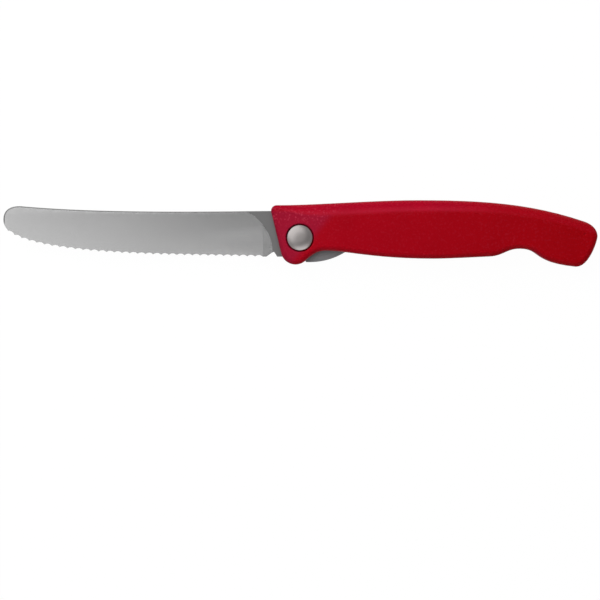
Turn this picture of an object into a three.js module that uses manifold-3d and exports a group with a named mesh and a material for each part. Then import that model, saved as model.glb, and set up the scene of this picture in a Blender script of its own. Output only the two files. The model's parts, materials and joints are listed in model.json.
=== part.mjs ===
// Folding paring knife with a serrated, round-ended blade, open, lying on its rear side. Millimetres.
// +X runs to the butt of the handle, +Y to the back of the blade, +Z up through the front side.
// Shapes are drawn about the pivot axis with z = 0 in the middle of the blade.
import * as THREE from 'three';
import { mergeVertices } from 'three/addons/utils/BufferGeometryUtils.js';
import Module from 'manifold-3d';

const wasm = await Module();
wasm.setup();

// Blade: lengths run from the pivot towards the tip, heights up from the pivot
const bladeReach = 118.6;
const bladeThickness = 1.4;
const edgeThickness = 0.3;
const groundStep = 0.07;
const spineHeight = 10.8;
const spineDip = 0.44;
const spineDipReach = 40;
const tipSpineRise = 1.9;
const tipSpineFall = 2.7;
const tipSpineReach = 30;
const tipLength = 6.6;
const tipNoseHeight = 7.4;
const tipCrestEase = 4.2;
const tipNoseEase = 3.6;
const chinBack = 1.84;
const chinHeight = 2.88;
const chinNoseEase = 2.6;
const chinEdgeEase = 0.7;
const chinEdgeRise = 1.3;
const edgeTipReach = 12.2;
const edgeTipFall = 9.95;
const edgeHeelReach = 40;
const edgeHeelRise = 0.82;
const heelReach = 14.2;
const heelDrop = 7.5;
const heelFlat = 0.8;
const toothPitch = 3.13;
const toothDepth = 0.62;
const scallopSteps = 4;
const plainHeel = 0.4;
const choilReach = 10.6;
const choilDrop = 5.8;
const choilWidth = 1.5;
const choilRound = 0.4;
const kickReach = 6.5;
const plungeRadius = 18.5;
const plungeReach = 29.4;
const plungeDrop = 6;

// Tang: the round end that turns between the handle scales
const foldAngle = 180;
const tangRadius = 7.2;
const lockBite = 2;
const lobeSpread = 27;
const stopAngle = 112;
const stopPinRadius = 1.5;
const stopSocketDepth = 2.5;
const stopPlay = 0.1;

// Pivot rivet in two pieces, and its washers
const headRadius = 5.15;
const headRim = 0.5;
const domeRise = 1.1;
const domeFlat = 0.7;
const headRingGap = 0.45;
const headFlush = 0.02;
const sleeveRadius = 2.75;
const shankRadius = 1.7;
const shankLength = 7.5;
const washerThickness = 0.4;
const washerRadius = 6.3;
const runningPlay = 0.05;
const loosePlay = 0.1;

// Handle: two scales and a spacer between them along the back
const scaleThickness = 5.3;
const roofClearance = 0.4;
const roofWall = 1.83;
const crownRise = 2.02;
const crownReach = 47;
const crownFrontEase = 18;
const crownRearEase = 25.7;
const noseEase = 15.3;
const noseCorner = 2.2;
const frontLean = 13.5;
const earSetback = 1.77;
const earRadius = 5.9;
const earCover = 1.45;
const earRiseAngle = 48;
const earReliefEase = 5.2;
const reliefReach = 10.8;
const reliefDrop = 5.08;
const reliefFrontEase = 3.2;
const reliefRearEase = 7.1;
const bellyReach = 53;
const bellyDrop = 8.3;
const bellyFrontEase = 23;
const bellyRearEase = 7.5;
const lipRise = 0.87;
const lipWidth = 12;
const lipEase = 5;
const notchBack = 30.85;
const notchDrop = 4.32;
const notchFrontEase = 5.3;
const notchRearEase = 8.45;
const hookBack = 8.45;
const hookDrop = 11.54;
const hookFrontEase = 18;
const hookRearEase = 5.2;
const hookFrontRise = 1.8;
const buttCover = 0.3;
const buttHeight = 0.56;
const buttLowEase = 1.6;
const buttHighEase = 1.6;
const shoulderBack = 5.25;
const shoulderHeight = 6.56;
const shoulderSlope = 0.34;
const shoulderFrontEase = 21.5;
const shoulderRearEase = 4.5;
const curveSteps = 9;
const noseTaper = 1;
const noseTaperStart = 12;
const buttTaper = 0.7;
const buttTaperLength = 20;

// Rounding of the scales' outer edges: width seen from the side, and depth for each unit of width
const edgeBack = 4;
const edgeFront = 1.5;
const edgeEar = 1.9;
const edgeBelly = 2.2;
const edgeNotch = 1.5;
const edgeButt = 2.3;
const edgeDepthRatio = 1.2;
const edgeLand = 0.3;
const edgeSteps = 4;
const edgeBlends = 6;
const edgeNarrowRatio = 0.95;

// Slot for the folded blade, and the pegs that locate the spacer in the scales
const slotClearance = 1.2;
const pegRadius = 1.4;
const pegHeight = 2;
const frontPegReach = 26;
const middlePegReach = 66;
const buttPegBack = 13;

// Lock leaf: a strip of spring steel let into the rear scale, with a release tab and a turned-in nose
const leafThickness = 0.8;
const leafSetback = 1.2;
const leafFlexRoom = 0.2;
const leafSideRoom = 0.4;
const leafHalfWidth = 2.5;
const leafRootReach = 58;
const leafTail = 8;
const leafShoulderReach = 13;
const noseClear = 0.25;
const noseSlack = 0.3;
const noseStandoff = 0.15;
const noseTopAngle = 10;
const tabDrop = 9.69;
const tabReach = 4.04;
const tabRadius = 26.7;
const leafRivetSpacing = 8;
const leafRivetRadius = 1;
const leafRivetHead = 1.9;
const leafRivetHeadHeight = 0.6;
const leafRivetDepth = 2.2;

const roundSegments = 32;
const smallSegments = 20;
const domeSteps = 5;

// Sizes worked out from the ones above
const cutReach = 2 * bladeReach;
const halfBlade = bladeThickness / 2;
const slotHalf = halfBlade + washerThickness + 2 * runningPlay;
const halfHandle = slotHalf + scaleThickness;
const lobeRadius = tangRadius + lockBite;
const stopDistance = tangRadius + loosePlay + stopPinRadius;
const stopSpread = THREE.MathUtils.radToDeg(Math.asin((stopPinRadius + stopPlay) / stopDistance));
const shoulderAngle = stopAngle + stopSpread;
const lockAngle = stopAngle - stopSpread - foldAngle;
const roofHeight = spineHeight + roofClearance;
const noseTop = roofHeight + roofWall;
const earDrop = lobeRadius + earCover;
const buttReach = bladeReach + buttCover;
const apexHeight = halfHandle - headFlush;
const seatHeight = apexHeight - domeRise - headRim;
const leafFace = -(halfBlade + leafSetback);
const leafBack = leafFace - leafThickness;
const pocketFloor = leafBack - leafFlexRoom;

const matte = { roughness: 0.55, metalness: 0 };
const satin = { roughness: 0.35, metalness: 1 };
const finishes = {
  redPlastic: { color: 0x9c0818, ...matte },
  groundSteel: { color: 0xb0b0b0, ...satin },
  springSteel: { color: 0x6c6a6c, roughness: 0.45, metalness: 1 },
  rivetSteel: { color: 0xb8b2ae, ...satin },
  washerBrass: { color: 0xb59a5a, ...satin },
};

function at(x, y) {
  return new THREE.Vector2(x, y);
}

function polar(radius, degrees) {
  const angle = THREE.MathUtils.degToRad(degrees);
  return at(radius * Math.cos(angle), radius * Math.sin(angle));
}

function arcPoints(centre, radius, fromDegrees, toDegrees, steps) {
  const points = [];
  for (let i = 0; i <= steps; i += 1) {
    const turn = fromDegrees + ((toDegrees - fromDegrees) * i) / steps;
    points.push(polar(radius, turn).add(centre));
  }
  return points;
}

function solid(geometry) {
  geometry.deleteAttribute('normal');
  geometry.deleteAttribute('uv');
  const merged = mergeVertices(geometry);
  const vertProperties = new Float32Array(merged.attributes.position.array);
  const triVerts = new Uint32Array(merged.index.array);
  return new wasm.Manifold(new wasm.Mesh({ numProp: 3, vertProperties, triVerts }));
}

// Plate of a side outline between two heights
function plate(outline, low, high) {
  const shape = new THREE.Shape(outline);
  const geometry = new THREE.ExtrudeGeometry(shape, { depth: high - low, bevelEnabled: false });
  return solid(geometry.translate(0, 0, low));
}

// Round pin along Z between two heights
function pin(place, radius, low, high, segments) {
  const geometry = new THREE.CylinderGeometry(radius, radius, high - low, segments);
  geometry.rotateX(Math.PI / 2);
  return solid(geometry.translate(place.x, place.y, (low + high) / 2));
}

// Body of revolution about Z from a profile of (radius, height) points, listed from its low end up
function turned(profile, place, segments) {
  const geometry = new THREE.LatheGeometry(profile, segments);
  geometry.rotateX(Math.PI / 2);
  return solid(geometry.translate(place.x, place.y, 0));
}

const pivot = at(0, 0);

// Handle outline, counter-clockwise from the top of the front face; one edge width for each stretch
function handleStretches() {
  const lean = THREE.MathUtils.degToRad(frontLean);
  const ear = at(-earSetback, earRadius - earDrop);
  const earFront = polar(earRadius, 180 + frontLean).add(ear);
  const earBack = polar(earRadius, -earRiseAngle).add(ear);
  const noseX = earFront.x - (noseTop - earFront.y) * Math.tan(lean);
  const corner = at(noseX + noseCorner * (Math.tan(lean) + 1 / Math.cos(lean)), noseTop - noseCorner);
  const frontHigh = polar(noseCorner, 180 + frontLean).add(corner);
  const earTangent = polar(1, 90 - earRiseAngle);
  const relief = at(reliefReach, -reliefDrop);
  const belly = at(bellyReach, -bellyDrop);
  const notch = at(buttReach - notchBack, -notchDrop);
  const lip = at(notch.x - lipWidth, belly.y + lipRise);
  const hook = at(buttReach - hookBack, -hookDrop);
  const butt = at(buttReach, buttHeight);
  const shoulder = at(buttReach - shoulderBack, shoulderHeight);
  const crown = at(crownReach, noseTop + crownRise);
  const noseBack = at(corner.x, noseTop);
  const lipSlope = lipRise / (lip.x - belly.x);
  const bend = (a, b, c, d) => new THREE.CubicBezierCurve(a, b, c, d);
  const shifted = (point, x, y) => at(point.x + x, point.y + y);
  const reliefEnd = earBack.clone().addScaledVector(earTangent, earReliefEase);
  const bellyFront = shifted(belly, -bellyFrontEase, 0);
  const lipFront = shifted(lip, -lipEase, -lipEase * lipSlope);
  const lipRear = shifted(lip, lipEase, lipEase * lipSlope);
  const hookFront = shifted(hook, -hookFrontEase, hookFrontRise);
  const shoulderRear = shifted(shoulder, shoulderRearEase, -shoulderRearEase * shoulderSlope);
  const shoulderFront = shifted(shoulder, -shoulderFrontEase, shoulderFrontEase * shoulderSlope);
  const arc = (middle, radius, from, to) => new THREE.EllipseCurve(
    middle.x, middle.y, radius, radius, THREE.MathUtils.degToRad(from), THREE.MathUtils.degToRad(to), false,
  );
  return [
    [new THREE.LineCurve(frontHigh, earFront), edgeFront],
    [arc(ear, earRadius, 180 + frontLean, 360 - earRiseAngle), edgeEar],
    [bend(earBack, reliefEnd, shifted(relief, -reliefFrontEase, 0), relief), edgeEar],
    [bend(relief, shifted(relief, reliefRearEase, 0), bellyFront, belly), edgeBelly],
    [bend(belly, shifted(belly, bellyRearEase, 0), lipFront, lip), edgeBelly],
    [bend(lip, lipRear, shifted(notch, -notchFrontEase, 0), notch), edgeNotch],
    [bend(notch, shifted(notch, notchRearEase, 0), hookFront, hook), edgeNotch],
    [bend(hook, shifted(hook, hookRearEase, 0), shifted(butt, 0, -buttLowEase), butt), edgeButt],
    [bend(butt, shifted(butt, 0, buttHighEase), shoulderRear, shoulder), edgeButt],
    [bend(shoulder, shoulderFront, shifted(crown, crownRearEase, 0), crown), edgeBack],
    [bend(crown, shifted(crown, -crownFrontEase, 0), shifted(noseBack, noseEase, 0), noseBack), edgeBack],
    [arc(corner, noseCorner, 90, 180 + frontLean), edgeFront],
  ];
}

const handleOutline = [];
const handleEdges = [];
for (const [curve, edge] of handleStretches()) {
  const steps = curve.isEllipseCurve ? 2 * curveSteps : curveSteps;
  const points = curve.getPoints(curve.isLineCurve ? 1 : steps).slice(0, -1);
  handleOutline.push(...points);
  handleEdges.push(...points.map(() => edge));
}

function inwardAt(outline, i) {
  const before = outline[(i + outline.length - 1) % outline.length];
  const after = outline[(i + 1) % outline.length];
  const run = after.clone().sub(before).normalize();
  return at(-run.y, run.x);
}

// Eases wide edges into narrow ones, then narrows any that would fold over in a tight corner
function easedWidths(outline, widths) {
  const count = outline.length;
  const inward = outline.map((point, i) => inwardAt(outline, i));
  const eased = [...widths];
  for (let pass = 0; pass < edgeBlends; pass += 1) {
    const last = [...eased];
    last.forEach((width, i) => {
      eased[i] = Math.min(width, (last[(i + count - 1) % count] + 2 * width + last[(i + 1) % count]) / 4);
    });
  }
  const inset = (i) => outline[i].clone().addScaledVector(inward[i], eased[i] + edgeLand);
  for (let pass = 0; pass < count; pass += 1) {
    for (let i = 0; i < count; i += 1) {
      const next = (i + 1) % count;
      const run = outline[next].clone().sub(outline[i]);
      if (inset(next).sub(inset(i)).dot(run) < 0) {
        eased[i] *= edgeNarrowRatio;
        eased[next] *= edgeNarrowRatio;
      }
    }
  }
  return eased;
}

// Slab on the handle outline with a rounded outer edge; side is 1 for the front scale, -1 for the rear
function roundedSlab(outline, widths, side) {
  const count = outline.length;
  const inward = outline.map((point, i) => inwardAt(outline, i));
  const positions = [];
  const ring = (step) => {
    const turn = ((step - 1) / edgeSteps) * (Math.PI / 2);
    outline.forEach((point, i) => {
      const depth = Math.min(widths[i] * edgeDepthRatio, scaleThickness - edgeLand);
      const inset = step < 1 ? 0 : widths[i] * (1 - Math.cos(turn));
      const height = step < 1 ? 0 : scaleThickness - depth * (1 - Math.sin(turn));
      const place = point.clone().addScaledVector(inward[i], inset);
      positions.push(place.x, place.y, side * (slotHalf + height));
    });
  };
  for (let step = 0; step <= edgeSteps + 1; step += 1) {
    ring(step);
  }
  const faces = [];
  const face = (a, b, c) => faces.push(...(side > 0 ? [a, b, c] : [a, c, b]));
  const top = (edgeSteps + 1) * count;
  for (const [a, b, c] of THREE.ShapeUtils.triangulateShape(outline, [])) {
    face(c, b, a);
  }
  const topRing = outline.map((point, i) => point.clone().addScaledVector(inward[i], widths[i]));
  for (const [a, b, c] of THREE.ShapeUtils.triangulateShape(topRing, [])) {
    face(top + a, top + b, top + c);
  }
  for (let low = 0; low < top; low += count) {
    for (let i = 0; i < count; i += 1) {
      const next = (i + 1) % count;
      face(low + i, low + next, low + count + next);
      face(low + i, low + count + next, low + count + i);
    }
  }
  const geometry = new THREE.BufferGeometry();
  geometry.setAttribute('position', new THREE.Float32BufferAttribute(positions, 3));
  geometry.setIndex(faces);
  return solid(geometry);
}

// Thickness of the handle seen from above: thinner at the nose and at the butt
function planBody() {
  const nose = handleOutline.reduce((least, point) => Math.min(least, point.x), 0);
  const half = [
    at(nose - cutReach, halfHandle - noseTaper),
    at(nose, halfHandle - noseTaper),
    at(noseTaperStart, halfHandle),
    at(buttReach - buttTaperLength, halfHandle),
    at(buttReach, halfHandle - buttTaper),
    at(buttReach + cutReach, halfHandle - buttTaper),
  ];
  const rear = half.map((point) => at(point.x, -point.y));
  const shape = new THREE.Shape([...rear, ...half.reverse()]);
  const geometry = new THREE.ExtrudeGeometry(shape, { depth: 2 * cutReach, bevelEnabled: false });
  geometry.rotateX(Math.PI / 2);
  return solid(geometry.translate(0, cutReach, 0));
}

// Blade back, from the handle to the tip
function spineCurve() {
  const start = at(spineHeight / Math.tan(THREE.MathUtils.degToRad(shoulderAngle)), spineHeight);
  const end = at(tipLength - bladeReach, spineHeight + tipSpineRise);
  return new THREE.CubicBezierCurve(
    start, at(start.x - spineDipReach, start.y - spineDip),
    at(end.x + tipSpineReach, end.y - tipSpineFall), end,
  );
}

// Line of the tooth points, from the chin of the round tip to the heel
function edgeCurve() {
  const start = at(chinBack - bladeReach, chinHeight);
  const end = at(-heelReach, -heelDrop);
  return new THREE.CubicBezierCurve(
    start, at(start.x + edgeTipReach, start.y - edgeTipFall),
    at(end.x - edgeHeelReach, end.y + edgeHeelRise), end,
  );
}

// Scalloped edge: round hollows that meet in points along the edge line, then a short plain heel
function serratedEdge() {
  const line = edgeCurve();
  const length = line.getLength();
  const teeth = Math.floor((length - plainHeel) / toothPitch);
  const points = [];
  for (let i = 0; i < teeth * scallopSteps; i += 1) {
    const along = (i / scallopSteps) * toothPitch;
    const place = line.getPointAt(along / length);
    const run = line.getTangentAt(along / length);
    const phase = (i % scallopSteps) / scallopSteps;
    const depth = toothDepth * 4 * phase * (1 - phase);
    points.push(place.addScaledVector(at(-run.y, run.x), depth));
  }
  points.push(line.getPointAt((teeth * toothPitch) / length), line.getPointAt(1));
  return points;
}

function bladeOutline() {
  const spine = spineCurve();
  const noseTip = at(-bladeReach, tipNoseHeight);
  const chin = edgeCurve().v0;
  const crest = spine.v3;
  const tipTop = new THREE.CubicBezierCurve(
    crest, at(crest.x - tipCrestEase, crest.y), at(noseTip.x, noseTip.y + tipNoseEase), noseTip,
  );
  const tipLow = new THREE.CubicBezierCurve(
    noseTip, at(noseTip.x, noseTip.y - chinNoseEase),
    at(chin.x - chinEdgeEase, chin.y + chinEdgeRise), chin,
  );
  const choil = new THREE.SplineCurve([
    at(-heelReach + heelFlat, -heelDrop),
    at(-choilReach - choilRound, -choilDrop),
    at(-choilReach + choilRound, -choilDrop),
    at(-choilReach + choilWidth, -heelDrop),
  ]);
  return [
    polar(tangRadius, shoulderAngle),
    ...spine.getPoints(2 * curveSteps).slice(0, -1),
    ...tipTop.getPoints(curveSteps).slice(0, -1),
    ...tipLow.getPoints(curveSteps).slice(0, -1),
    ...serratedEdge(),
    ...choil.getPoints(curveSteps),
    at(-kickReach, -heelDrop),
    ...arcPoints(pivot, lobeRadius, lockAngle - lobeSpread, lockAngle, curveSteps),
    ...arcPoints(pivot, tangRadius, lockAngle, shoulderAngle, 2 * curveSteps).slice(0, -1),
  ];
}

// Metal ground away on one face, from the tip to the round plunge line in front of the tang
function groundCut(side) {
  const region = [
    at(-bladeReach - cutReach, -cutReach),
    at(plungeRadius - plungeReach, -cutReach),
    ...arcPoints(at(-plungeReach, -plungeDrop), plungeRadius, 0, 90, 2 * curveSteps),
    at(-plungeReach, cutReach),
    at(-bladeReach - cutReach, cutReach),
  ];
  const atSpine = halfBlade - groundStep;
  const slope = (atSpine - edgeThickness / 2) / (spineHeight - spineDip + heelDrop);
  const faceAt = (y) => side * (edgeThickness / 2 + (y + heelDrop) * slope);
  const low = -2 * heelDrop;
  const high = 2 * spineHeight;
  const clear = side * 2 * bladeThickness;
  const section = new THREE.Shape([
    at(low, faceAt(low)), at(high, faceAt(high)), at(high, clear), at(low, clear),
  ]);
  const wedge = new THREE.ExtrudeGeometry(section, { depth: 2 * bladeReach, bevelEnabled: false });
  const sectionAcrossX = new THREE.Matrix4().makeBasis(
    new THREE.Vector3(0, 1, 0), new THREE.Vector3(0, 0, 1), new THREE.Vector3(1, 0, 0),
  );
  wedge.applyMatrix4(sectionAcrossX).translate(-2 * bladeReach, 0, 0);
  return solid(wedge).intersect(plate(region, -2 * bladeThickness, 2 * bladeThickness));
}

function blade() {
  const hole = pin(pivot, sleeveRadius + runningPlay, -bladeThickness, bladeThickness, roundSegments);
  const blank = plate(bladeOutline(), -halfBlade, halfBlade);
  return blank.subtract(groundCut(1)).subtract(groundCut(-1)).subtract(hole);
}

// Underside of the spacer: level over the tang, then along the folded blade's edge and out at the butt
function roofLine() {
  const folded = edgeCurve().getPoints(curveSteps).reverse();
  const line = folded.map((point) => at(-point.x, slotClearance - point.y));
  const chin = line[line.length - 1];
  return [
    at(-cutReach, roofHeight),
    at(lobeRadius + roofClearance, roofHeight),
    ...line,
    at(cutReach, chin.y - (cutReach - chin.x) / 2),
  ];
}

function heightAlong(line, x) {
  const i = line.findIndex((point, j) => j > 0 && (line[j - 1].x - x) * (point.x - x) <= 0);
  const before = line[i - 1];
  const after = line[i];
  return before.y + ((after.y - before.y) * (x - before.x)) / (after.x - before.x);
}

// Pegs of the spacer, in the middle of the solid back above the slot
function pegPlaces() {
  const back = handleOutline.filter((point) => point.y > shoulderHeight);
  const roof = roofLine();
  return [frontPegReach, middlePegReach, buttReach - buttPegBack].map((x) => {
    return at(x, (heightAlong(back, x) + heightAlong(roof, x)) / 2);
  });
}

const stopPlace = polar(stopDistance, stopAngle);
const stopSocketEnd = slotHalf + stopSocketDepth;

function spacer() {
  const slot = [...roofLine(), at(cutReach, -cutReach), at(-cutReach, -cutReach)];
  const web = plate(handleOutline, -slotHalf, slotHalf);
  const stopHole = pin(stopPlace, stopPinRadius + loosePlay, -halfHandle, halfHandle, smallSegments);
  let body = web.subtract(plate(slot, -halfHandle, halfHandle)).subtract(stopHole);
  for (const place of pegPlaces()) {
    const reach = slotHalf + pegHeight;
    body = body.add(pin(place, pegRadius, -reach, reach, smallSegments));
  }
  return body;
}

// Scale with the rivet's hole and seat, the stop pin's socket and the pegs' sockets
function scale(side) {
  const through = (place, radius, from, to, segments) => {
    return pin(place, radius, Math.min(side * from, side * to), Math.max(side * from, side * to), segments);
  };
  const widths = easedWidths(handleOutline, handleEdges);
  let body = roundedSlab(handleOutline, widths, side).intersect(planBody());
  body = body.subtract(through(pivot, sleeveRadius + loosePlay, 0, 2 * halfHandle, roundSegments));
  body = body.subtract(through(pivot, headRadius + headRingGap, seatHeight, 2 * halfHandle, roundSegments));
  body = body.subtract(through(stopPlace, stopPinRadius + loosePlay, 0, stopSocketEnd, smallSegments));
  for (const place of pegPlaces()) {
    const reach = slotHalf + pegHeight + loosePlay;
    body = body.subtract(through(place, pegRadius + loosePlay, 0, reach, smallSegments));
  }
  return body;
}

// Angles of the turned-in nose: just behind the lock face, and clear of the folded blade's shoulder
const noseInner = tangRadius + noseClear;
const noseSlackAngle = THREE.MathUtils.radToDeg(noseSlack / noseInner);
const noseFront = lockAngle + noseSlackAngle;
const noseRear = shoulderAngle - foldAngle - noseSlackAngle;

// Outline of the lock leaf, grown all round for its pocket
function leafOutline(grow) {
  const growAngle = THREE.MathUtils.radToDeg(grow / noseInner);
  const inner = noseInner - grow;
  const front = noseFront - growAngle;
  const tabCentre = at(tabReach, tabRadius - tabDrop);
  const tabOuter = tabRadius + grow;
  const ray = polar(1, front);
  const along = ray.dot(tabCentre);
  const tip = ray.multiplyScalar(along + Math.sqrt(along ** 2 - tabCentre.lengthSq() + tabOuter ** 2));
  const tabStart = THREE.MathUtils.radToDeg(tip.clone().sub(tabCentre).angle()) - 360;
  const low = -leafHalfWidth - grow;
  const tabEnd = THREE.MathUtils.radToDeg(Math.asin((low - tabCentre.y) / tabOuter));
  const tail = leafRootReach + leafTail + grow;
  return [
    ...arcPoints(tabCentre, tabOuter, tabStart, tabEnd, 2 * curveSteps),
    at(tail, low),
    at(tail, -low),
    at(leafShoulderReach - grow, -low),
    ...arcPoints(pivot, inner, growAngle - noseTopAngle, front, curveSteps),
  ];
}

const leafRivetPlaces = [-1, 1].map((end) => at(leafRootReach + (end * leafRivetSpacing) / 2, 0));

function lockLeaf() {
  const noseOutline = [
    ...arcPoints(pivot, lobeRadius, noseFront, noseRear, curveSteps),
    ...arcPoints(pivot, noseInner, noseRear, noseFront, curveSteps),
  ];
  const noseEnd = leafFace + leafSetback - noseStandoff;
  let leaf = plate(leafOutline(0), leafBack, leafFace).add(plate(noseOutline, leafBack, noseEnd));
  for (const place of leafRivetPlaces) {
    const radius = leafRivetRadius + leafFlexRoom;
    leaf = leaf.subtract(pin(place, radius, 2 * leafBack, 0, smallSegments));
  }
  return leaf;
}

function leafRivet(place) {
  const end = pocketFloor - leafRivetDepth;
  const under = leafFace + leafFlexRoom;
  const over = under + leafRivetHeadHeight;
  const profile = [
    at(0, end), at(leafRivetRadius, end), at(leafRivetRadius, under),
    at(leafRivetHead, under), at(leafRivetHead, over), at(0, over),
  ];
  return turned(profile, place, smallSegments);
}

// Rear scale: the leaf's pocket is open at the tab, and its rivets are driven into blind holes
function rearScale() {
  let body = scale(-1).subtract(plate(leafOutline(leafSideRoom), pocketFloor, 0));
  for (const place of leafRivetPlaces) {
    const end = pocketFloor - leafRivetDepth - loosePlay;
    body = body.subtract(pin(place, leafRivetRadius + loosePlay, end, 0, smallSegments));
  }
  return body;
}

// Domed head in profile, from the seat's rim to the flat at the middle
function domeProfile() {
  const points = [];
  const sphere = (headRadius ** 2 + domeRise ** 2) / (2 * domeRise);
  for (let i = 0; i <= domeSteps; i += 1) {
    const radius = headRadius + ((domeFlat - headRadius) * i) / domeSteps;
    const rise = Math.sqrt(sphere ** 2 - radius ** 2) - (sphere - domeRise);
    const height = i === domeSteps ? domeRise : rise;
    points.push(at(radius, seatHeight + headRim + height));
  }
  points.push(at(0, apexHeight));
  return points;
}

// Tube of the rivet, with its head seated in the rear scale
function pivotSleeve() {
  const dome = domeProfile().reverse().map((point) => at(point.x, -point.y));
  const end = seatHeight - loosePlay;
  const bore = shankRadius + runningPlay;
  const boreFloor = seatHeight - shankLength - loosePlay;
  const profile = [
    ...dome, at(headRadius, -seatHeight), at(sleeveRadius, -seatHeight), at(sleeveRadius, end),
    at(bore, end), at(bore, boreFloor), at(0, boreFloor),
  ];
  return turned(profile, pivot, roundSegments);
}

// Pin of the rivet, pressed into the tube, with its head seated in the front scale
function pivotPin() {
  const end = seatHeight - shankLength;
  const profile = [
    at(0, end), at(shankRadius, end), at(shankRadius, seatHeight), at(headRadius, seatHeight),
    ...domeProfile(),
  ];
  return turned(profile, pivot, roundSegments);
}

function washer(side) {
  const middle = side * (halfBlade + runningPlay + washerThickness / 2);
  const low = middle - washerThickness / 2;
  const high = middle + washerThickness / 2;
  const inner = sleeveRadius + loosePlay;
  const profile = [
    at(inner, low), at(washerRadius, low), at(washerRadius, high), at(inner, high), at(inner, low),
  ];
  return turned(profile, pivot, roundSegments);
}

function stopPin() {
  const end = stopSocketEnd - loosePlay;
  return pin(stopPlace, stopPinRadius, -end, end, smallSegments);
}

const knife = new THREE.Group();

function addPiece(name, body, finish) {
  const { vertProperties, triVerts } = body.getMesh();
  const geometry = new THREE.BufferGeometry();
  geometry.setAttribute('position', new THREE.BufferAttribute(vertProperties, 3));
  geometry.setIndex(new THREE.BufferAttribute(triVerts, 1));
  geometry.computeVertexNormals();
  const mesh = new THREE.Mesh(geometry, new THREE.MeshStandardMaterial(finish));
  mesh.name = name;
  knife.add(mesh);
}

addPiece('handle_front_scale', scale(1), finishes.redPlastic);
addPiece('handle_rear_scale', rearScale(), finishes.redPlastic);
addPiece('spine_spacer', spacer(), finishes.redPlastic);
addPiece('blade', blade(), finishes.groundSteel);
addPiece('lock_leaf', lockLeaf(), finishes.springSteel);
addPiece('leaf_rivet_front', leafRivet(leafRivetPlaces[0]), finishes.springSteel);
addPiece('leaf_rivet_rear', leafRivet(leafRivetPlaces[1]), finishes.springSteel);
addPiece('pivot_pin', pivotPin(), finishes.rivetSteel);
addPiece('pivot_sleeve', pivotSleeve(), finishes.rivetSteel);
addPiece('washer_front', washer(1), finishes.washerBrass);
addPiece('washer_rear', washer(-1), finishes.washerBrass);
addPiece('stop_pin', stopPin(), finishes.springSteel);

// The knife rests on its rear side, centred over the origin
const extent = new THREE.Box3().setFromObject(knife);
const centre = extent.getCenter(new THREE.Vector3());
knife.position.set(-centre.x, -centre.y, -extent.min.z);

export default knife;
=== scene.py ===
"""A folding paring knife: a scalloped, round-ended blade that turns in a red moulded handle."""
import json
import math
from contextlib import contextmanager

import bmesh
import bpy
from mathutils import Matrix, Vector


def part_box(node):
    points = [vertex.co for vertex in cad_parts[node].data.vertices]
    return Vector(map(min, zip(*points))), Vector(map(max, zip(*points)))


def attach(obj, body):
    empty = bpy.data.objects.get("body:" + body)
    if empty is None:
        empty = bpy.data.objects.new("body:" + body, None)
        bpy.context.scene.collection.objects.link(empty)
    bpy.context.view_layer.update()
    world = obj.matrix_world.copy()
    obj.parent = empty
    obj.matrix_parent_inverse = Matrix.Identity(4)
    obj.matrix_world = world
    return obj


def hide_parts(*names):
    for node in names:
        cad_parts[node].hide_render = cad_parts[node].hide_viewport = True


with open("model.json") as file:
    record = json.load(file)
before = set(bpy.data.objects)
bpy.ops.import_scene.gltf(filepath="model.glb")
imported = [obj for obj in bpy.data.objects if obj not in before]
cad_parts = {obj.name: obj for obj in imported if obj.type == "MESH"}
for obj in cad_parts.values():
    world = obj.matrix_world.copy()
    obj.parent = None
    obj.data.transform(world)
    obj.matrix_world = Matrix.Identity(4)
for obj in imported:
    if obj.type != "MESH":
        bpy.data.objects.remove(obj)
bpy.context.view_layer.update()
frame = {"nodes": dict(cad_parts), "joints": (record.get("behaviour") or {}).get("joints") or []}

bl_info = {
    "name": "Folding paring knife",
    "version": (1, 0, 0),
    "blender": (4, 5, 0),
    "location": "View3D > Sidebar > Knife",
    "description": "Models and finishes the pieces of a folding paring knife on its frame",
    "category": "Object",
}

MM = 0.001
JOINTS = {joint["name"]: joint for joint in frame["joints"]}
PIVOT = Vector(JOINTS["blade_fold"]["pos_m"])
LEAF_RIVETS = ("leaf_rivet_front", "leaf_rivet_rear")

# Slots of the blade's finishes
TANG_SLOT, GROUND_SLOT, RUNOUT_SLOT = range(3)

# Distance and angle below which points and faces count as one
SAME_POINT = MM / 1000
SAME_PLANE = math.radians(0.1)

# Least part of a unit vector along an axis that it follows, closely or by and large
CLOSELY = 0.99
LARGELY = 0.9

# The two roundings of a scale that carry painted light, a highlight and sheen on the back's and shade on
# the front's, each with the way from it into the handle
ROUNDED_SIDES = {"back_round": Vector((0.0, -1.0, 0.0)), "front_round": Vector((1.0, 0.0, 0.0))}

# Satin lines: their darkest and brightest share of the metal's colour, and their height
LINE_TONES = (0.93, 1.05)
LINE_HEIGHT = 0.01 * MM

# Plastic: shares of the nose's painted reflection and of the back's painted highlight and sheen that are
# left where they fade
NOSE_SHEEN_LEFT = 0.25
HIGHLIGHT_AND_SHEEN_LEFT = 0.2

# Plastic: where the painted highlight streak and the painted sheen of the back lie on the rounding, which
# is 1 at its outer end
HIGHLIGHT_AND_SHEEN_BAND = (0.2, 0.42)

# Plastic: scale and levels of its uneven tone
PATCH_SCALE = 70.0
PATCH_LEVELS = (0.92, 1.08)

# Plastic: noise at which specks start and are whole, and their strength away from the nose and on it
SPECK_LIMITS = (0.56, 0.68)
SPECK_STRENGTHS = (0.12, 0.7)

# Plastic: roughness and height of its grain, and its gloss
GRAIN_ROUGHNESS = (0.36, 0.5)
GRAIN_HEIGHT = 0.04 * MM
PLASTIC_GLOSS = 0.025

# Floor: strength and share of its white; the rest shows the shadow
FLOOR_WHITE = 1.02
WHITE_SHARE = 0.96

# Surroundings: the way to their bright side, and the rise over which they fade to the zenith
BRIGHT_WAY = (-0.5, 0.87, 0.0)
SKY_RISE = (0.3, 0.95)


# Settings

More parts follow.
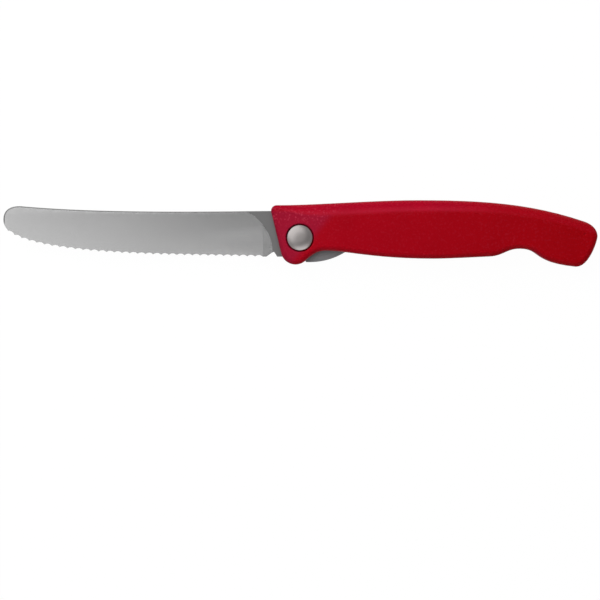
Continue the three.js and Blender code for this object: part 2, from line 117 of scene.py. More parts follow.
def length(name, description, millimetres):
    return bpy.props.FloatProperty(
        name=name, description=description, default=millimetres * MM, unit="LENGTH", precision=5
    )


def place(name, description, x, y):
    return bpy.props.FloatVectorProperty(
        name=name, description=description, size=2, default=(x * MM, y * MM), unit="LENGTH", precision=5
    )


def spot(name, description, *millimetres):
    default = [distance * MM for distance in millimetres]
    return bpy.props.FloatVectorProperty(
        name=name, description=description, size=3, default=default, unit="LENGTH", precision=5
    )


def turn(name, description, degrees):
    return bpy.props.FloatProperty(
        name=name, description=description, default=math.radians(degrees), subtype="ANGLE"
    )


def share(name, description, value):
    return bpy.props.FloatProperty(
        name=name, description=description, default=value, min=0.0, soft_max=1.0, subtype="FACTOR"
    )


def ratio(name, description, value):
    return bpy.props.FloatProperty(name=name, description=description, default=value, min=0.0)


def power(name, description, watts):
    return bpy.props.FloatProperty(name=name, description=description, default=watts, min=0.0, unit="POWER")


def count(name, description, value):
    return bpy.props.IntProperty(name=name, description=description, default=value, min=1)


def colour(name, description, value):
    return bpy.props.FloatVectorProperty(
        name=name, description=description, default=value, size=3, min=0.0, max=1.0, subtype="COLOR"
    )


class HandleSettings(bpy.types.PropertyGroup):
    """Shape and finish of the scales: places from the pivot, and reaches of curves before and after them"""

    front_lean: turn("Front lean", "Lean of the front face", 13.5)
    nose_top: place("Nose top", "Where the back meets the round nose", -9.316, 13.03)
    nose_round: length("Nose rounding", "Radius of the corner at the nose", 2.2)
    nose_ease: length("Nose ease", "Reach of the back's curve at the nose", 15.3)
    ear_centre: place("Ear centre", "Middle of the round ear under the pivot", -1.77, -4.75)
    ear_round: length("Ear radius", "Radius of the ear", 5.9)
    ear_rise: turn("Ear rise", "Where the ear's arc ends, below the level", 48.0)
    ear_ease: length("Ear ease", "Reach of the curve behind the ear", 5.2)
    relief: place("Relief", "Top of the relief over the release tab", 10.8, -5.08)
    relief_ease: place("Relief ease", "Reach before and after the relief", 3.2, 7.1)
    belly: place("Belly", "Lowest point of the belly", 53.0, -8.3)
    belly_ease: place("Belly ease", "Reach before and after the belly", 23.0, 7.5)
    lip: place("Lip", "Where the belly turns up to the pinch notch", 76.05, -7.43)
    lip_ease: place("Lip ease", "Reach before and after the lip", 5.0, 5.0)
    lip_slope: turn("Lip slope", "Rise of the belly at the lip", 2.16)
    notch: place("Notch", "Top of the pinch notch", 88.05, -4.32)
    notch_ease: place("Notch ease", "Reach before and after the notch", 5.3, 8.45)
    hook: place("Hook", "Lowest point of the hook", 110.45, -11.54)
    hook_ease: place("Hook ease", "Reach before and after the hook", 18.1, 5.2)
    hook_slope: turn("Hook slope", "Fall of the outline into the hook", 5.7)
    butt: place("Butt", "Rearmost point of the butt", 118.9, 0.56)
    butt_ease: place("Butt ease", "Reach before and after the butt", 1.6, 1.6)
    shoulder: place("Shoulder", "Where the butt turns into the back", 113.65, 6.56)
    shoulder_ease: place("Shoulder ease", "Reach before and after the shoulder", 4.75, 22.7)
    shoulder_slope: turn("Shoulder slope", "Slope of the back at the shoulder", 18.8)
    crown: place("Crown", "Highest point of the back", 47.0, 15.05)
    crown_ease: place("Crown ease", "Reach before and after the crown", 25.7, 18.0)
    back_edge: place("Back edge", "Width of the back's rounding at the nose and the butt", 6.2, 4.0)
    side_edge: length("Other edges", "Width of the rounding on the other edges", 2.0)
    edge_land: length("Edge land", "Straight wall left beside the slot", 0.3)
    edge_growth: share("Edge growth", "Most that the rounding widens for each unit along the outline", 0.45)
    edge_depth: ratio("Edge depth", "Depth of the rounding for each unit of its width", 1.2)
    edge_steps: count("Edge steps", "Steps in the rounding", 9)
    curve_steps: count("Curve steps", "Steps in each stretch of the outline", 12)
    nose_thinning: length("Nose thinning", "Thickness lost at the front end of each scale", 1.0)
    nose_bend: place("Nose bend", "Where the thinning starts and its length", 16.0, 28.0)
    nose_slant: turn("Nose slant", "Slant of the line where the thinning starts", 28.0)
    butt_thinning: length("Butt thinning", "Thickness lost at the butt of each scale", 0.7)
    butt_bend: place("Butt bend", "Where the thinning starts and its length", 97.0, 22.0)
    bend_cuts: count("Bend cuts", "Cuts across each bend", 8)
    recess_gap: length("Recess gap", "Gap round the rivet's head", 0.45)
    recess_depth: length("Recess depth", "Depth of the rivet's seat below the flat side", 1.62)
    recess_round: length("Recess rounding", "Rounding of the recess rim", 0.38)
    groove_depth: length("Groove depth", "Depth of the groove round the rivet's seat", 1.2)
    groove_inset: length("Groove inset", "Reach of the groove under the rivet's head", 0.3)
    socket_play: length("Socket play", "Play of pins and pegs in their sockets", 0.1)
    pocket_play: length("Pocket play", "Room round the lock leaf in its pocket", 0.35)
    mark_place: place("Moulding mark", "Place of the small moulding mark by the butt", 113.8, 1.36)
    mark_width: length("Mark width", "Width of the moulding mark", 1.3)
    mark_depth: length("Mark depth", "Depth of the moulding mark", 0.22)
    # Painted reflection on the nose: where it starts, its slant and the heights where it fades
    nose_sheen_span: place("Nose sheen", "Where the nose's tone starts and is whole, along its slant", -6.0, -2.0)
    nose_sheen_slant: turn("Nose sheen slant", "Slant of the line where the nose's tone starts", 39.0)
    nose_sheen_top: place("Nose sheen top", "Heights between which the nose's tone fades to the back", 9.8, 11.6)
    # Where the painted highlight and sheen along the back fade towards the butt
    highlight_and_sheen_fade: place("Highlight and sheen fade", "Between which places the back's tones fade", 55.0, 85.0)
    speck_size: length("Speck size", "Size of the pale specks", 0.8)
    speck_rise: place("Speck rise", "Heights between which the specks come up", 3.0, 9.0)
    # The red at the butt is darker than the body red: painted shade that darkens the handle towards the
    # butt
    red: colour("Red", "Colour of the moulded plastic at the butt", (0.310, 0.0001, 0.0031))
    body_red: colour("Body red", "Colour of the moulded plastic behind the pivot", (0.336, 0.0002, 0.0072))
    # Painted reflection: a paler, pinker red on the nose stands for the sheen it reflects
    nose_sheen_red: colour("Nose sheen red", "Colour of the moulded plastic at the nose", (0.30, 0.0046, 0.0235))
    # Painted highlight and reflection: a bright streak inside the back's rounding and a pinker red on its
    # outer part
    streak_highlight_red: colour("Highlight streak red", "Colour of the line inside the back's rounding", (0.37, 0.0045, 0.020))
    back_sheen_red: colour("Back sheen red", "Colour of the back's rounding", (0.33, 0.0001, 0.0125))
    # Painted shade: a darker red on the rounding of the front edge
    front_shade_red: colour("Front shade red", "Colour of the rounding of the front edge", (0.18, 0.0038, 0.018))
    speck_red: colour("Speck red", "Colour of the pale specks", (0.465, 0.0301, 0.0631))
    grain: length("Grain", "Size of the moulded grain", 0.45)


class BladeSettings(bpy.types.PropertyGroup):
    """Grinding, edges and finish of the blade"""

    spine_round: length("Spine rounding", "Rounding of the back", 0.4)
    tip_round: length("Tip rounding", "Rounding of the foremost stretch of the tip", 0.52)
    tip_reach: length("Tip reach", "Length over which the rounding widens to the tip", 5.0)
    tooth_depth: length("Scallop depth", "Depth of the scallops behind the tooth points", 0.62)
    tooth_trim: length("Tooth trim", "Metal taken off the tooth points", 0.02)
    tooth_level: length("Tooth level", "Height of the cutting line over the blade's middle", 0.17)
    tooth_facet: turn("Facet angle", "Tilt of the scallop grind on the rear face", 60.0)
    hollow: length("Hollow", "Hollow of the ground sides between back and edge", 0.11)
    hollow_span: place("Hollow span", "Lower and upper end of the hollow, from the pivot", -7.2, 10.8)
    hollow_cuts: count("Hollow cuts", "Strips along the blade for the hollow", 12)
    length_cuts: count("Length cuts", "Stretches of the blade from its tip to the run-out", 16)
    heel_hollow: share("Heel hollow", "How much deeper the hollow is at the heel", 1.1)
    runout_reach: length("Run-out reach", "Where the grinding wheel runs out, from the pivot", 14.9)
    runout_width: length("Run-out width", "Length of the wheel's run-out", 4.0)
    runout_depth: length("Run-out depth", "Extra depth of the run-out", 0.18)
    tooth_ridge: turn("Tooth ridge", "Least angle between the walls at a tooth point", 20.0)
    heel_reach: length("Heel reach", "Reach of the toothless heel from the pivot", 14.5)
    ground_steel: colour("Ground steel", "Colour of the ground faces", (0.49, 0.49, 0.49))
    # Darker than the ground steel: painted shade on the tilted run-out strip
    runout_shaded_steel: colour("Run-out shaded steel", "Colour where the wheel runs out", (0.425, 0.425, 0.425))
    tang_steel: colour("Tang steel", "Colour of the rolled tang", (0.205, 0.205, 0.205))
    honed_steel: colour("Honed steel", "Colour of the scallop facets", (0.62, 0.62, 0.615))


class RivetSettings(bpy.types.PropertyGroup):
    """Sizes and finish of the pivot rivet's two halves, and the finish of the washers"""

    head_trim: length("Head trim", "Metal taken off round the two heads", 0.13)
    rim_height: length("Rim height", "Straight height of the head", 0.8)
    rim_round: length("Rim rounding", "Width of the rounding round the dome", 0.3)
    rim_tilt: turn("Rim tilt", "Slope of the dome's rounding at the rim", 33.0)
    flatness: ratio("Dome flatness", "Power of the dome's curve: 2 is round, more is flatter", 3.0)
    sleeve_radius: length("Tube radius", "Outer radius of the rear half's tube", 2.75)
    shank_radius: length("Shank radius", "Radius of the front half's shank", 1.7)
    bore_play: length("Bore play", "Play between shank and tube", 0.05)
    steps: count("Steps", "Steps round the rivet", 96)
    steel: colour("Rivet steel", "Colour of the rivet", (0.374, 0.347, 0.340))
    brass: colour("Washer brass", "Colour of the washers", (0.60, 0.44, 0.17))


class LockSettings(bpy.types.PropertyGroup):
    """Finish of the lock leaf and its fittings"""

    edge_break: length("Edge break", "Broken edges of the leaf and the small fittings", 0.12)
    leaf_rivet_shank: length("Rivet shank", "Radius of the leaf rivets' shanks", 1.0)
    seam: length("Seam", "Broken edges of the spacer beside the scales", 0.1)
    steel: colour("Spring steel", "Colour of the leaf, its rivets and the stop pin", (0.247, 0.247, 0.253))


class StageSettings(bpy.types.PropertyGroup):
    """Floor, light and camera"""

    camera_height: length("Camera height", "Height of the camera over the knife", 3000.0)
    view_width: length("View width", "Width of the view at the knife", 240.0)
    view_centre: place("View centre", "Middle of the view, from the pivot", 0.04, -24.84)
    floor_size: length("Floor size", "Width of the floor", 12000.0)
    floor: colour("Floor", "Colour of the floor", (0.6, 0.6, 0.6))
    key_place: spot("Key place", "Place of the light that metal doesn't show", -262.0, 283.0, 500.0)
    key_size: length("Key size", "Width of the key light", 675.0)
    key_power: power("Key power", "Power of the key light", 3.6)
    sheen_place: spot("Sheen place", "Place of the rear light that only metal shows", -227.6, 245.9, 535.3)
    sheen_size: length("Sheen size", "Width of the sheen light", 675.0)
    sheen_power: power("Sheen power", "Power of the sheen light", 1.8)
    fill_place: spot("Fill place", "Place of the front light that only metal shows", 120.0, -740.0, 670.0)
    fill_size: length("Fill size", "Width of the fill light", 850.0)
    fill_power: power("Fill power", "Power of the fill light", 2.7)
    bright_side: share("Bright side", "Brightness of the horizon behind the knife", 1.1)
    dark_side: share("Dark side", "Brightness of the horizon in front of the knife", 0.5)
    zenith: share("Zenith", "Brightness of the surroundings overhead", 0.27)


# Modelling helpers

def eased(value):
    """Soft step from 0 to 1."""
    value = min(max(value, 0.0), 1.0)
    return value * value * (3 - 2 * value)


def added(name, add, **settings):
    """A named piece that an operator adds, selected alone."""
    bpy.ops.object.select_all(action="DESELECT")
    add(**settings)
    piece = bpy.context.object
    piece.name = name
    piece.data.name = name
    return piece


def copied(source, name):
    """A named copy of a piece, with its own mesh."""
    piece = bpy.data.objects.new(name, source.data.copy())
    piece.data.name = name
    bpy.context.collection.objects.link(piece)
    return piece


def activate(piece):
    """Selects one piece alone and makes it active."""
    bpy.ops.object.select_all(action="DESELECT")
    piece.select_set(True)
    bpy.context.view_layer.objects.active = piece


@contextmanager
def editing(piece):
    """Edit mode on one piece."""
    activate(piece)
    bpy.ops.object.mode_set(mode="EDIT")
    bpy.ops.mesh.select_mode(type="VERT")
    yield
    bpy.ops.object.mode_set(mode="OBJECT")


def pick(piece, kind, test):
    """Selects the vertices, edges or faces that pass the test, in edit mode."""
    bpy.ops.mesh.select_mode(type=kind)
    bpy.ops.mesh.select_all(action="DESELECT")
    mesh = bmesh.from_edit_mesh(piece.data)
    items = {"VERT": mesh.verts, "EDGE": mesh.edges, "FACE": mesh.faces}[kind]
    for item in items:
        if test(item):
            item.select_set(True)
    bmesh.update_edit_mesh(piece.data)


def merge_points(distance=SAME_POINT):
    """Merges all points that lie within a distance of each other, in edit mode."""
    bpy.ops.mesh.select_all(action="SELECT")
    bpy.ops.mesh.remove_doubles(threshold=distance)


def face_outwards():
    """Turns all faces outwards, in edit mode, and leaves them selected."""
    bpy.ops.mesh.select_all(action="SELECT")
    bpy.ops.mesh.normals_make_consistent(inside=False)


def give_finish(piece, slot):
    """Gives the selected faces one of the piece's finishes, in edit mode."""
    piece.active_material_index = slot
    bpy.ops.object.material_slot_assign()


def modify(piece, kind, **settings):
    """Adds one modifier to the piece and applies it."""
    activate(piece)
    modifier = piece.modifiers.new(kind.title(), kind)
    for name, value in settings.items():
        setattr(modifier, name, value)
    bpy.ops.object.modifier_apply(modifier=modifier.name)


def settle(piece):
    """Puts the piece's place into its mesh."""
    activate(piece)
    bpy.ops.object.transform_apply(location=True, rotation=True, scale=True)


def carve(piece, cutter):
    """Cuts one solid out of the piece; the cut takes the cutter's finish."""
    modify(
        piece, "BOOLEAN", object=cutter, operation="DIFFERENCE", solver="EXACT", material_mode="TRANSFER"
    )
    bpy.data.objects.remove(cutter)
    if not piece.data.polygons:
        raise RuntimeError(f"nothing is left of {piece.name}")


def bore(piece, bit):
    """Cuts a bit out of the piece; the cut takes the piece's own finish."""
    for finish in piece.data.materials:
        bit.data.materials.append(finish)
    carve(piece, bit)


def drill(piece, at, radius, low, high, steps=48):
    """Cuts a round hole along Z between two heights."""
    bit = added(
        "drill_bit",
        bpy.ops.mesh.primitive_cylinder_add,
        vertices=steps,
        radius=radius,
        depth=high - low,
        location=(at.x, at.y, (low + high) / 2),
    )
    settle(bit)
    bore(piece, bit)


def turned(name, profile, steps):
    """Solid turned round the pivot from a profile of radii and heights, from axis to axis."""
    piece = added(name, bpy.ops.mesh.primitive_plane_add, size=MM)
    spots = [PIVOT + Vector((radius, 0.0, height)) for radius, height in profile]
    with editing(piece):
        bpy.ops.mesh.select_all(action="SELECT")
        bpy.ops.mesh.merge(type="CENTER")
        bpy.ops.transform.translate(value=spots[0])
        for here, there in zip(spots, spots[1:]):
            bpy.ops.mesh.extrude_vertices_move(TRANSFORM_OT_translate={"value": there - here})
        bpy.ops.mesh.select_all(action="SELECT")
        bpy.ops.mesh.spin(steps=steps, angle=2 * math.pi, center=PIVOT, axis=(0.0, 0.0, 1.0))
        merge_points()
        face_outwards()
    return piece


def smooth(piece, degrees=35.0):
    """Shades curved faces smooth, flat faces flat and keeps sharp edges."""
    activate(piece)
    bpy.ops.object.shade_smooth_by_angle(angle=math.radians(degrees))
    modify(piece, "WEIGHTED_NORMAL", keep_sharp=True, weight=80)


def break_edges(piece, width):
    """Breaks the sharp edges of a small piece and smooths its round faces."""
    modify(
        piece, "BEVEL", width=width, segments=2, limit_method="ANGLE", angle_limit=math.radians(40.0)
    )
    smooth(piece)


def drop_slivers(piece):
    """Takes out faces of no area that cuts leave where their lines all but meet."""
    with editing(piece):
        merge_points()
        bpy.ops.mesh.dissolve_degenerate(threshold=SAME_POINT)


def carried(node, name):
    """A copy of a frame solid with its triangles joined into whole faces."""
    piece = copied(frame["nodes"][node], name)
    piece.data.materials.clear()
    activate(piece)
    bpy.ops.mesh.customdata_custom_splitnormals_clear()
    with editing(piece):
        merge_points()
        bpy.ops.mesh.dissolve_limited(angle_limit=SAME_PLANE)
    return piece


def placed(piece, node, body):
    """Rides the finished piece on its body, in place of a frame solid."""
    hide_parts(node)
    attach(piece, body)


def middle(node):
    """Centre of a frame solid's box."""
    low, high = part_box(node)
    return (low + high) / 2


def half_width(node):
    """Half the size of a frame solid's box along X."""
    low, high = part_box(node)
    return (high.x - low.x) / 2


# Handle

def heading(angle):
    """Unit vector at an angle from +X."""
    return Vector((math.cos(angle), math.sin(angle)))


def knot(point, before, after, into, out=None):
    """Point of an outline with its two handles, from the headings into and out of it."""
    point = Vector(point)
    out = into if out is None else out
    return point, point - heading(into) * before, point + heading(out) * after


def handle_knots(s):
    """Outline of the handle from the top of its front face, counter-clockwise."""
    right, up, left = 0.0, math.pi / 2, math.pi
    front_end = math.pi + s.front_lean
    corner = Vector(s.nose_top) - Vector((0.0, s.nose_round))
    corner_turn = front_end - up
    corner_reach = 4 / 3 * math.tan(corner_turn / 4) * s.nose_round
    ear = Vector(s.ear_centre)
    ear_end = 2 * math.pi - s.ear_rise
    ear_middle = (front_end + ear_end) / 2
    ear_reach = 4 / 3 * math.tan((ear_end - front_end) / 8) * s.ear_round
    front_high = corner + heading(front_end) * s.nose_round
    front_low = ear + heading(front_end) * s.ear_round
    front_run = (front_high - front_low).length / 3
    down = front_end + math.pi / 2
    return [
        knot(front_high, corner_reach, front_run, down),
        knot(front_low, front_run, ear_reach, down),
        knot(ear + heading(ear_middle) * s.ear_round, ear_reach, ear_reach, ear_middle + up),
        knot(ear + heading(ear_end) * s.ear_round, ear_reach, s.ear_ease, ear_end + up),
        knot(s.relief, *s.relief_ease, right),
        knot(s.belly, *s.belly_ease, right),
        knot(s.lip, *s.lip_ease, s.lip_slope),
        knot(s.notch, *s.notch_ease, right),
        knot(s.hook, *s.hook_ease, -s.hook_slope, right),
        knot(s.butt, *s.butt_ease, up),
        knot(s.shoulder, *s.shoulder_ease, left - s.shoulder_slope),
        knot(s.crown, *s.crown_ease, left),
        knot(s.nose_top, s.nose_ease, corner_reach, left),
    ]


def drawn_outline(name, knots, steps, height):
    """Flat face on a closed curve through the knots, at one height."""
    piece = added(name, bpy.ops.curve.primitive_bezier_curve_add)
    piece.data.dimensions = "2D"
    piece.data.fill_mode = "NONE"
    piece.data.resolution_u = steps
    spline = piece.data.splines[0]
    spline.bezier_points.add(len(knots) - len(spline.bezier_points))
    spline.use_cyclic_u = True
    for point, (co, before, after) in zip(spline.bezier_points, knots):
        point.handle_left_type = "FREE"
        point.handle_right_type = "FREE"
        point.co = co.to_3d()
        point.handle_left = before.to_3d()
        point.handle_right = after.to_3d()
    bpy.ops.object.convert(target="MESH")
    piece = bpy.context.object
    piece.location = (PIVOT.x, PIVOT.y, height)
    settle(piece)
    with editing(piece):
        bpy.ops.mesh.select_all(action="SELECT")
        bpy.ops.mesh.edge_face_add()
    return piece


def inward_ways(points):
    """Unit vectors into the outline at each of its points."""
    ways = []
    for i in range(len(points)):
        run = points[(i + 1) % len(points)] - points[i - 1]
        ways.append(Vector((-run.y, run.x, 0.0)).normalized())
    return ways


def facing(way, side):
    """Share of a rounding that belongs to one side of the outline, from the way into it."""
    least, whole = 0.2, 0.8
    return eased((way.dot(side) - least) / (whole - least))


def edge_widths(points, s):
    """Width of the rounding at each point: wide along the back, and never folded over in a corner."""
    least_run, narrowing, smoothings = 0.25, 0.96, 8
    ways = inward_ways(points)
    widths = []
    for point, way in zip(points, ways):
        along = (point.x - PIVOT.x - s.nose_top[0]) / (s.butt[0] - s.nose_top[0])
        back = s.back_edge[0] + (s.back_edge[1] - s.back_edge[0]) * along
        widths.append(s.side_edge + (back - s.side_edge) * facing(way, ROUNDED_SIDES["back_round"]))
    total = len(points)
    for _ in range(total):
        for i in range(total):
            j = (i + 1) % total
            run = points[j] - points[i]
            inset = run + ways[j] * widths[j] - ways[i] * widths[i]
            if inset.dot(run) < least_run * run.length_squared:
                widths[i] *= narrowing
                widths[j] *= narrowing
    twice_round = [*range(total), *range(total)]
    for numbers, step in ((twice_round, -1), (twice_round[::-1], 1)):
        for i in numbers:
            beside = (i + step) % total
            reach = (points[i] - points[beside]).length
            widths[i] = min(widths[i], widths[beside] + s.edge_growth * reach)
    for _ in range(smoothings):
        last = list(widths)
        for i in range(total):
            widths[i] = min(last[i], (last[i - 1] + 2 * last[i] + last[(i + 1) % total]) / 4)
    return widths


def move_ring(piece, target, shares):
    """Puts each selected vertex where target says for its number on the outline, and notes its shares."""
    mesh = bmesh.from_edit_mesh(piece.data)
    order = mesh.verts.layers.int["order"]
    for vertex in mesh.verts:
        if vertex.select:
            vertex.co = target(vertex[order])
            for name, values in shares.items():
                vertex[mesh.verts.layers.float[name]] = values[vertex[order]]
    bmesh.update_edit_mesh(piece.data)


def rounded_blank(s):
    """Front scale's body: the outline raised to its thickness with a rounded outer edge."""
    low, high = (corner.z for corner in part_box("handle_front_scale"))
    blank = drawn_outline("handle_front", handle_knots(s), s.curve_steps, low)
    points = [vertex.co.copy() for vertex in blank.data.vertices]
    ways = inward_ways(points)
    widths = edge_widths(points, s)
    thickness = high - low

    def ring(step):
        tilt = step / s.edge_steps * math.pi / 2

        def target(i):
            depth = min(widths[i] * s.edge_depth, thickness - s.edge_land)
            moved = points[i] + ways[i] * widths[i] * (1 - math.cos(tilt))
            moved.z = high - depth * (1 - math.sin(tilt))
            return moved

        return target

    with editing(blank):
        mesh = bmesh.from_edit_mesh(blank.data)
        for name in ROUNDED_SIDES:
            mesh.verts.layers.float.new(name)
        order = mesh.verts.layers.int.new("order")
        for vertex in mesh.verts:
            vertex[order] = vertex.index
        bpy.ops.mesh.select_all(action="SELECT")
        for step in range(s.edge_steps + 1):
            left = 1 - step / s.edge_steps
            shares = {
                name: [facing(way, side) * left for way in ways] for name, side in ROUNDED_SIDES.items()
            }
            bpy.ops.mesh.extrude_region_move()
            move_ring(blank, ring(step), shares)
        face_outwards()
    blank.data.attributes.remove(blank.data.attributes["order"])
    return blank


def ramp(along, bend):
    """Share of a thinning at a distance along it: a soft start, then an even slope."""
    soft, longest = 0.5, 1.2
    part = min(max(along / bend, 0.0), longest)
    rise = part * part / (2 * soft) if part < soft else part - soft / 2
    return rise / (1 - soft / 2)


def thin_ends(blank, s):
    """Bends the flat side of the blank in towards the nose and the butt."""
    low, high = (corner.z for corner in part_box("handle_front_scale"))
    nose_way = Vector((-math.cos(s.nose_slant), math.sin(s.nose_slant), 0.0))
    nose_start = PIVOT + Vector((s.nose_bend[0], 0.0, 0.0))
    butt_way = Vector((1.0, 0.0, 0.0))
    butt_start = PIVOT + Vector((s.butt_bend[0], 0.0, 0.0))
    bends = (
        (nose_start, nose_way, s.nose_bend[1], s.nose_thinning),
        (butt_start, butt_way, s.butt_bend[1], s.butt_thinning),
    )
    with editing(blank):
        for start, way, bend, _ in bends:
            for cut in range(s.bend_cuts):
                pick(blank, "FACE", lambda face: face.normal.z > CLOSELY)
                at = start + way * (bend * cut / s.bend_cuts)
                bpy.ops.mesh.bisect(plane_co=at, plane_no=way)
        mesh = bmesh.from_edit_mesh(blank.data)
        for vertex in mesh.verts:
            lost = sum(
                thinning * ramp((vertex.co - start).dot(way), bend)
                for start, way, bend, thinning in bends
            )
            vertex.co.z -= lost * (vertex.co.z - low) / (high - low)
        bmesh.update_edit_mesh(blank.data)


def mirrored(piece, name):
    """A copy of the front scale's body turned over to the rear of the blade."""
    twin = copied(piece, name)
    with editing(twin):
        bpy.ops.mesh.select_all(action="SELECT")
        bpy.ops.transform.resize(value=(1, 1, -1), center_override=PIVOT)
        face_outwards()
    return twin


def peg_places():
    """Centre and radius of each peg on the spacer, from the ends of the pegs."""
    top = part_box("spine_spacer")[1].z
    end_depth, least_gap = MM / 100, 5 * MM
    spots = [vertex.co for vertex in frame["nodes"]["spine_spacer"].data.vertices]
    ends = sorted((co for co in spots if top - co.z < end_depth), key=lambda co: co.x)
    groups = [[ends[0]]]
    for co in ends[1:]:
        if co.x - groups[-1][-1].x > least_gap:
            groups.append([])
        groups[-1].append(co)
    pegs = []
    for group in groups:
        left, right = min(co.x for co in group), max(co.x for co in group)
        low, high = min(co.y for co in group), max(co.y for co in group)
        pegs.append((Vector(((left + right) / 2, (low + high) / 2, 0.0)), (right - left) / 2))
    return pegs


def on_rim(edge, radius, seat, side):
    """Whether an edge lies on the outer rim of the rivet's recess."""
    beside, above = MM / 50, MM / 10
    offsets = [vertex.co - PIVOT for vertex in edge.verts]
    return all(
        abs(offset.xy.length - radius) < beside and side * offset.z > seat + above for offset in offsets
    )


def bore_scale(piece, s, side):
    """Cuts the rivet's bore and seat and the sockets of the pegs and the stop pin into a scale."""
    low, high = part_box("handle_front_scale")
    face = high.z - PIVOT.z
    slot = low.z - PIVOT.z
    beyond = face + slot

    def socket(at, radius, end):
        heights = sorted((PIVOT.z, PIVOT.z + side * (end + s.socket_play)))
        drill(piece, at, radius + s.socket_play, *heights)

    rim = half_width("pivot_pin") + s.recess_gap
    boss = half_width("pivot_pin") - s.groove_inset
    seat = face - s.recess_depth
    rivet = bpy.context.scene.knife_rivet
    tube = rivet.sleeve_radius + s.socket_play
    groove = seat - s.groove_depth
    recess = [
        (0.0, 0.0), (tube, 0.0), (tube, seat), (boss, seat),
        (boss, groove), (rim, groove), (rim, beyond), (0.0, beyond),
    ]
    bore(piece, turned("recess_bit", [(out, side * height) for out, height in recess], rivet.steps))
    stop_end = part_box("stop_pin")[1].z - PIVOT.z
    socket(middle("stop_pin"), half_width("stop_pin"), stop_end)
    peg_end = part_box("spine_spacer")[1].z - PIVOT.z
    for at, radius in peg_places():
        socket(at, radius, peg_end)
    with editing(piece):
        pick(piece, "EDGE", lambda edge: on_rim(edge, rim, seat, side))
        bpy.ops.mesh.bevel(offset=s.recess_round, segments=3, affect="EDGES")


def mark_front(piece, s):
    """Shallow round moulding mark on the flat side, by the butt."""
    sphere = (s.mark_width ** 2 / 4 + s.mark_depth ** 2) / (2 * s.mark_depth)
    at = PIVOT + Vector((*s.mark_place, 0.0))
    above = at + Vector((0.0, 0.0, 50 * MM))
    hit, top, *_ = piece.ray_cast(above, (0.0, 0.0, -1.0))
    if not hit:
        raise RuntimeError("the moulding mark misses the handle")
    bit = added(
        "mark_bit",
        bpy.ops.mesh.primitive_uv_sphere_add,
        segments=96,
        ring_count=64,
        radius=sphere,
        location=(at.x, at.y, top.z + sphere - s.mark_depth),
    )
    settle(bit)
    carve(piece, bit)


def leaf_pocket(s):
    """Solid of the lock leaf's pocket: the leaf's underside raised past the slot and grown all round."""
    cutter = carried("lock_leaf", "pocket_bit")
    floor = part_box("lock_leaf")[0].z
    above, folds = MM / 100, MM / 20
    with editing(cutter):
        pick(cutter, "FACE", lambda face: face.normal.z > -LARGELY or face.verts[0].co.z > floor + above)
        bpy.ops.mesh.delete(type="FACE")
        for node in LEAF_RIVETS:
            at, reach = middle(node), half_width(node)
            pick(cutter, "EDGE", lambda edge: all((end.co - at).xy.length < reach for end in edge.verts))
            bpy.ops.mesh.edge_face_add()
        face_outwards()
        bpy.ops.mesh.dissolve_limited(angle_limit=SAME_PLANE)
        bpy.ops.mesh.select_all(action="SELECT")
        rise = {"value": (0.0, 0.0, PIVOT.z - floor)}
        bpy.ops.mesh.extrude_region_move(TRANSFORM_OT_translate=rise)
        face_outwards()
        bpy.ops.transform.shrink_fatten(value=s.pocket_play, use_even_offset=True)
        mesh = bmesh.from_edit_mesh(cutter.data)
        for vertex in mesh.verts:
            vertex.co.z = PIVOT.z if vertex.co.z > (floor + PIVOT.z) / 2 else floor - s.pocket_play
        bmesh.update_edit_mesh(cutter.data)
        merge_points(folds)
    return cutter


# Blade

def tooth_points(piece, s):
    """Points of the teeth, from the tip of the blade to its heel."""
    most_up = 0.1
    mesh = bmesh.new()
    mesh.from_mesh(piece.data)
    points = []
    for edge in mesh.edges:
        upright = abs((edge.verts[0].co - edge.verts[1].co).normalized().z) > CLOSELY
        if not upright or len(edge.link_faces) != 2:
            continue
        at = (edge.verts[0].co + edge.verts[1].co) / 2
        walls_down = all(face.normal.y < most_up for face in edge.link_faces)
        on_edge = at.x < PIVOT.x - s.heel_reach
        if on_edge and walls_down and edge.is_convex and edge.calc_face_angle() > s.tooth_ridge:
            points.append(at)
    mesh.free()
    if len(points) < 2:
        raise RuntimeError("the blade has no teeth to grind between")
    return sorted(points, key=lambda point: point.x)


def scallop_bit(first, second, s, finish):
    """Tilted cylinder that grinds the scallop between two tooth points into the rear face."""
    chord = second - first
    out = Vector((chord.y, -chord.x, 0.0)).normalized()
    fall = s.tooth_depth * math.cos(s.tooth_facet)
    radius = (chord.length_squared / 4 + fall ** 2) / (2 * fall)
    axis = -out * math.sin(s.tooth_facet) - Vector((0.0, 0.0, math.cos(s.tooth_facet)))
    centre = (first + second) / 2
    centre.z = PIVOT.z + s.tooth_level
    centre += out * (radius / math.cos(s.tooth_facet) - s.tooth_depth - s.tooth_trim)
    bit = added(
        "scallop_bit",
        bpy.ops.mesh.primitive_cylinder_add,
        vertices=96,
        radius=radius,
        depth=12 * MM,
        location=centre,
        rotation=axis.to_track_quat("Z", "Y").to_euler(),
    )
    settle(bit)
    bit.data.materials.append(finish)
    return bit


def grind_scallops(blade, points, s, finish):
    """Grinds every scallop, in three passes so that no two cutters of a pass overlap."""
    passes = 3
    pairs = list(zip(points, points[1:]))
    for first_pair in range(passes):
        bits = [scallop_bit(*pair, s, finish) for pair in pairs[first_pair::passes]]
        for bit in bits:
            bit.select_set(True)
        bpy.ops.object.join()
        carve(blade, bpy.context.object)


def ground(face):
    """Whether a face of the blade is one of the two ground sides."""
    least_slope = 0.01
    return abs(face.normal.z) > LARGELY and abs(face.normal.y) > least_slope


